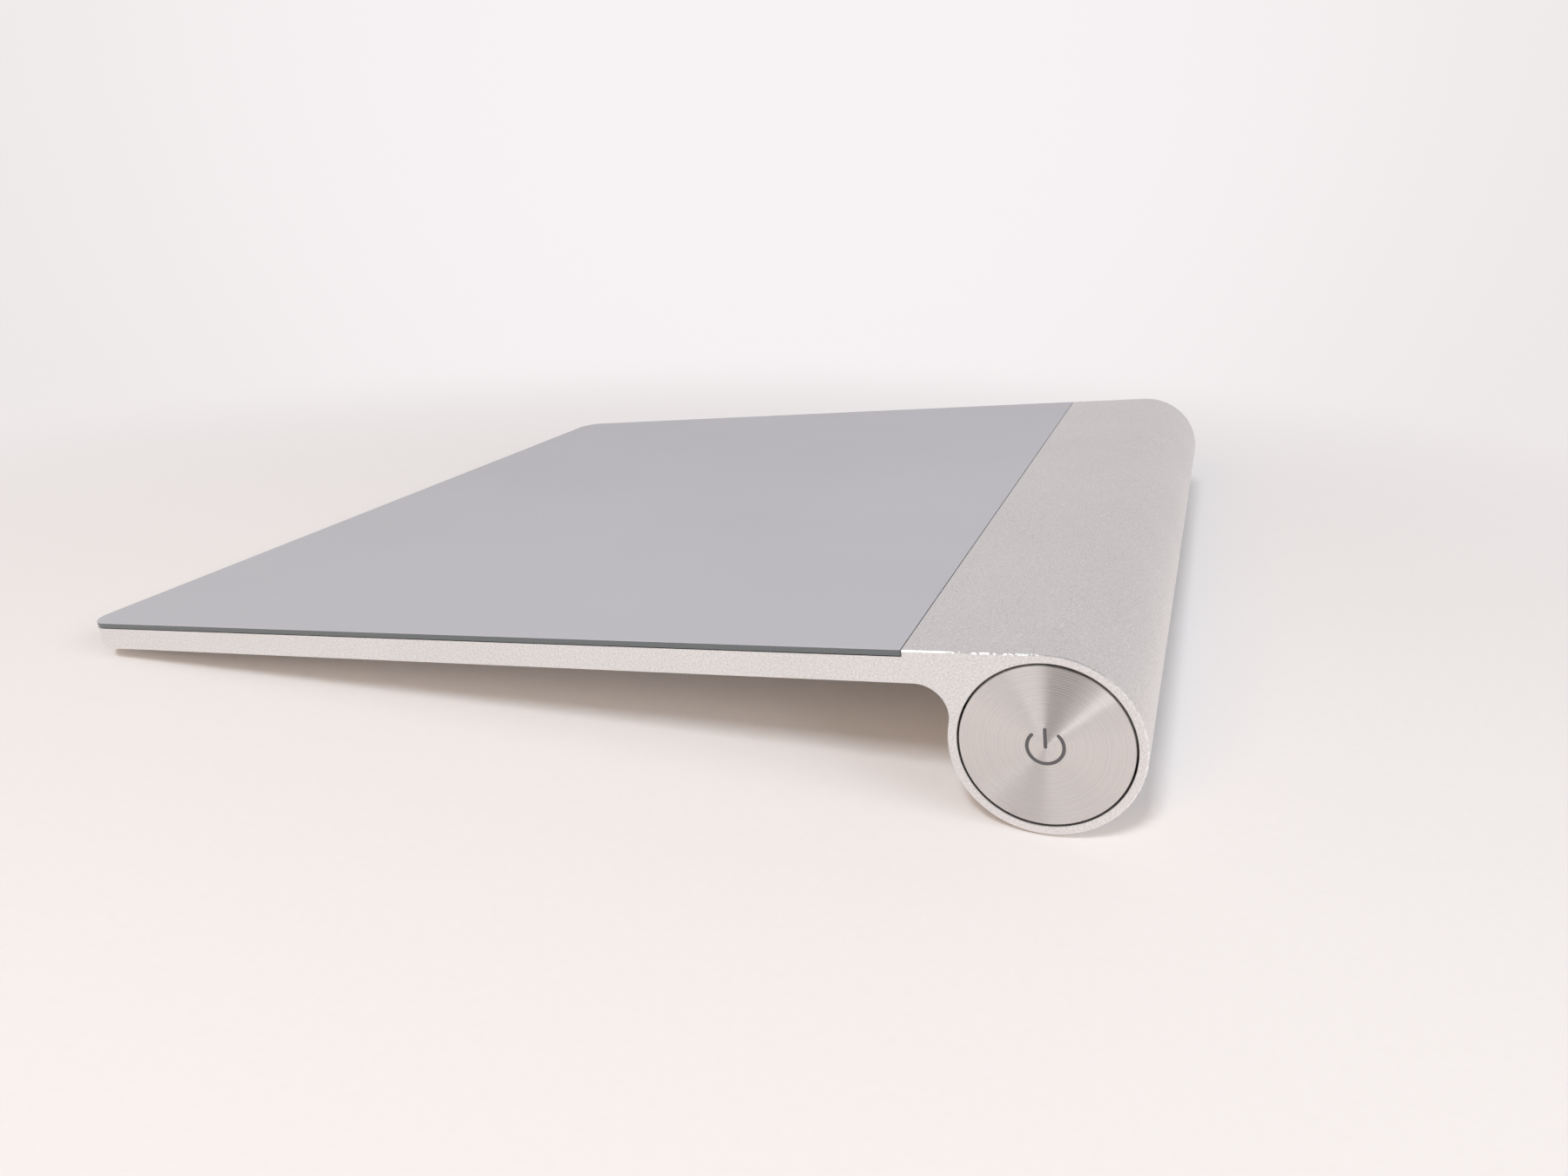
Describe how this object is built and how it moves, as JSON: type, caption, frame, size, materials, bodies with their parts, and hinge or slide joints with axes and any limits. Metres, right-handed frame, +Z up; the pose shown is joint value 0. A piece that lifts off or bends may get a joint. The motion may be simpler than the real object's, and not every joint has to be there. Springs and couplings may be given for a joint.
{
  "type": "wireless trackpad",
  "caption": "Thin sloping trackpad: a full-width glass touch plate on an aluminium housing, a battery tube behind it, clicking feet, a push button and a screw cap.",
  "frame": {"origin": "on the table, under the middle of the outline in plan", "axes": "+X to the user's right, towards the power button; +Y to the rear, towards the battery tube; +Z up"},
  "size_m": [0.13, 0.131, 0.0187],
  "materials": {
    "anodised_aluminium": "bead-blasted and clear anodised",
    "turned_aluminium": "finely turned, clear anodised",
    "satin_glass": "satin etched, grey layer behind",
    "adhesive": "thin acrylic tape",
    "circuit_board": "green solder mask",
    "chip_black": "moulded epoxy",
    "capacitor_ceramic": "fired ceramic with tinned ends",
    "shield_steel": "tinned sheet",
    "flex_film": "polyimide film",
    "connector_plastic": "moulded",
    "antenna_brass": "stamped sheet",
    "cover_plastic": "fine moulded texture",
    "foot_rubber": "matte",
    "plunger_plastic": "moulded",
    "switch_body": "tinned sheet over moulded base",
    "switch_pin": "moulded",
    "contact_nickel": "nickel plated",
    "spring_steel": "drawn wire",
    "guide_plastic": "moulded",
    "cell_jacket": "printed film with no lettering, bare metal ends",
    "icon_paint": "filled mark"
  },
  "bodies": {
    "housing": {"housing": "anodised_aluminium", "touch_glass": "satin_glass", "glass_adhesive": "adhesive", "touch_sensor_board": "circuit_board", "touch_controller": "chip_black", "sensor_capacitors": "capacitor_ceramic", "bottom_cover": "cover_plastic", "cover_adhesive": "adhesive", "left_click_switch": "switch_body", "right_click_switch": "switch_body", "rear_foot_strips": "foot_rubber", "logic_board": "circuit_board", "radio_shield": "shield_steel", "radio_chip": "chip_black", "voltage_regulator": "chip_black", "board_capacitors": "capacitor_ceramic", "flex_connector": "connector_plastic", "sensor_flex_cable": "flex_film", "antenna": "antenna_brass", "power_flex_cable": "flex_film", "button_guide": "guide_plastic", "button_return_spring": "spring_steel", "power_switch": "switch_body", "power_switch_board": "circuit_board", "contact_bulkhead": "guide_plastic", "power_switch_screws": "spring_steel", "positive_contact": "contact_nickel", "battery_inner": "cell_jacket", "battery_outer": "cell_jacket"},
    "power_button": {"power_button": "turned_aluminium", "power_icon": "icon_paint", "button_clip": "spring_steel", "power_switch_pin": "switch_pin"},
    "left_foot": {"left_foot_pad": "foot_rubber", "left_foot_plunger": "plunger_plastic", "left_click_switch_pin": "switch_pin"},
    "right_foot": {"right_foot_pad": "foot_rubber", "right_foot_plunger": "plunger_plastic", "right_click_switch_pin": "switch_pin"},
    "cap_contact": {"cap_contact_plate": "contact_nickel", "cap_contact_spring": "spring_steel"},
    "battery_cap": {"battery_cap": "turned_aluminium"}
  },
  "joints": [
    {"name": "power_button_press", "type": "slide", "parent": "housing", "child": "power_button", "axis": [-1, 0, 0], "range_m": [0, 0.0005], "stiffness_N_per_m": 1200, "springref_m": -0.001, "deforming": ["button_return_spring"]},
    {"name": "left_foot_click", "type": "slide", "parent": "housing", "child": "left_foot", "axis": [0, -0.1132, 0.9936], "range_m": [0, 0.0003], "stiffness_N_per_m": 1500, "springref_m": -0.0008},
    {"name": "right_foot_click", "type": "slide", "parent": "housing", "child": "right_foot", "axis": [0, -0.1132, 0.9936], "range_m": [0, 0.0003], "stiffness_N_per_m": 1500, "springref_m": -0.0008},
    {"name": "cap_travel", "type": "slide", "parent": "housing", "child": "cap_contact", "axis": [-1, 0, 0], "range_m": [0, 0.009]},
    {"name": "cap_turn", "type": "hinge", "parent": "cap_contact", "child": "battery_cap", "pos_m": [-0.065, 0.0563, 0.0095], "axis": [-1, 0, 0], "range_deg": [0, 1080]}
  ],
  "couplings": [
    {"joint": "cap_turn", "follows": "cap_travel", "rad_per_m": 2094.4}
  ]
}
